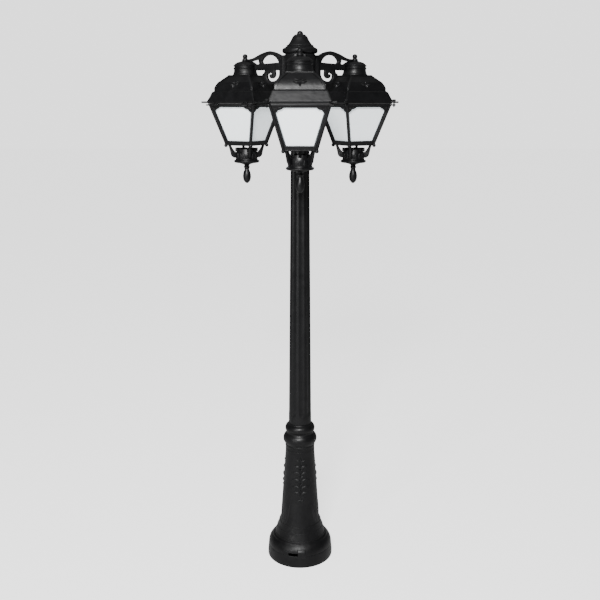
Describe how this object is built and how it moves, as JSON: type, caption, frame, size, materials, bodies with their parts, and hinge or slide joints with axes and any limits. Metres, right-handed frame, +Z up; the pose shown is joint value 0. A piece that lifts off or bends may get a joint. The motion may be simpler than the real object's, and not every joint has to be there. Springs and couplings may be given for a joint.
{
  "type": "post lantern",
  "caption": "Tall garden post lantern: tapered square lanterns with opal panes hang from scrolled arms round a fluted post on a flared, bolted-down foot.",
  "frame": {"origin": "on the post's axis at ground level, the centre of the anchor bolt circle", "axes": "+Z up the post; one lantern stands towards -Y, the others follow at 120 degree steps"},
  "size_m": [0.736, 0.6394, 2.0517],
  "materials": {
    "black_resin": "satin black cast resin with a fine grain",
    "galvanised_steel": "dull galvanised tube",
    "zinc_steel": "zinc plated",
    "stainless_steel": "plain stainless",
    "opal_pane": "opal acrylic sheet, smooth",
    "lamp_opal": "opal lamp bulb",
    "holder_plastic": "heat-proof moulding",
    "terminal_plastic": "natural moulding",
    "seal_rubber": "soft black"
  },
  "bodies": {
    "root": {"ground_flange": "black_resin", "foot": "black_resin", "collar": "black_resin", "shaft": "black_resin", "core_tube": "galvanised_steel", "hub": "black_resin", "hub_cap": "black_resin", "hub_finial": "black_resin", "hub_stud": "zinc_steel", "terminal_plate": "zinc_steel", "terminal_block": "terminal_plastic", "arm_screws": "stainless_steel", "front_arm": "black_resin", "front_cap": "black_resin", "front_ball_nut": "black_resin", "front_tie_rod": "zinc_steel", "front_roof": "black_resin", "front_seal": "seal_rubber", "front_lamp_holder": "holder_plastic", "front_lamp": "lamp_opal", "front_hinge_pins": "stainless_steel", "right_arm": "black_resin", "right_cap": "black_resin", "right_ball_nut": "black_resin", "right_tie_rod": "zinc_steel", "right_roof": "black_resin", "right_seal": "seal_rubber", "right_lamp_holder": "holder_plastic", "right_lamp": "lamp_opal", "right_hinge_pins": "stainless_steel", "left_arm": "black_resin", "left_cap": "black_resin", "left_ball_nut": "black_resin", "left_tie_rod": "zinc_steel", "left_roof": "black_resin", "left_seal": "seal_rubber", "left_lamp_holder": "holder_plastic", "left_lamp": "lamp_opal", "left_hinge_pins": "stainless_steel"},
    "front_glazing": {"front_frame": "black_resin", "front_panes": "opal_pane", "front_crown": "black_resin", "front_drop_finial": "black_resin"},
    "front_outer_hand_screw_body": {"front_outer_hand_screw": "black_resin"},
    "front_inner_hand_screw_body": {"front_inner_hand_screw": "black_resin"},
    "right_glazing": {"right_frame": "black_resin", "right_panes": "opal_pane", "right_crown": "black_resin", "right_drop_finial": "black_resin"},
    "right_outer_hand_screw_body": {"right_outer_hand_screw": "black_resin"},
    "right_inner_hand_screw_body": {"right_inner_hand_screw": "black_resin"},
    "left_glazing": {"left_frame": "black_resin", "left_panes": "opal_pane", "left_crown": "black_resin", "left_drop_finial": "black_resin"},
    "left_outer_hand_screw_body": {"left_outer_hand_screw": "black_resin"},
    "left_inner_hand_screw_body": {"left_inner_hand_screw": "black_resin"}
  },
  "joints": [
    {"name": "front_glazing_hinge", "type": "hinge", "parent": "root", "child": "front_glazing", "pos_m": [0.1075, -0.235, 1.7975], "axis": [0, -1, 0], "range_deg": [0, 80]},
    {"name": "front_outer_hand_screw_turn", "type": "hinge", "parent": "root", "child": "front_outer_hand_screw_body", "pos_m": [-0.10642, -0.34142, 1.8095], "axis": [0, 0, 1], "continuous": true},
    {"name": "front_inner_hand_screw_turn", "type": "hinge", "parent": "root", "child": "front_inner_hand_screw_body", "pos_m": [-0.10642, -0.12858, 1.8095], "axis": [0, 0, 1], "continuous": true},
    {"name": "right_glazing_hinge", "type": "hinge", "parent": "root", "child": "right_glazing", "pos_m": [0.14977, 0.2106, 1.7975], "axis": [0.866, 0.5, 0], "range_deg": [0, 80]},
    {"name": "right_outer_hand_screw_turn", "type": "hinge", "parent": "root", "child": "right_outer_hand_screw_body", "pos_m": [0.34889, 0.07855, 1.8095], "axis": [0, 0, 1], "continuous": true},
    {"name": "right_inner_hand_screw_turn", "type": "hinge", "parent": "root", "child": "right_inner_hand_screw_body", "pos_m": [0.16456, -0.02787, 1.8095], "axis": [0, 0, 1], "continuous": true},
    {"name": "left_glazing_hinge", "type": "hinge", "parent": "root", "child": "left_glazing", "pos_m": [-0.25727, 0.0244, 1.7975], "axis": [-0.866, 0.5, 0], "range_deg": [0, 80]},
    {"name": "left_outer_hand_screw_turn", "type": "hinge", "parent": "root", "child": "left_outer_hand_screw_body", "pos_m": [-0.24247, 0.26287, 1.8095], "axis": [0, 0, 1], "continuous": true},
    {"name": "left_inner_hand_screw_turn", "type": "hinge", "parent": "root", "child": "left_inner_hand_screw_body", "pos_m": [-0.05814, 0.15645, 1.8095], "axis": [0, 0, 1], "continuous": true}
  ]
}
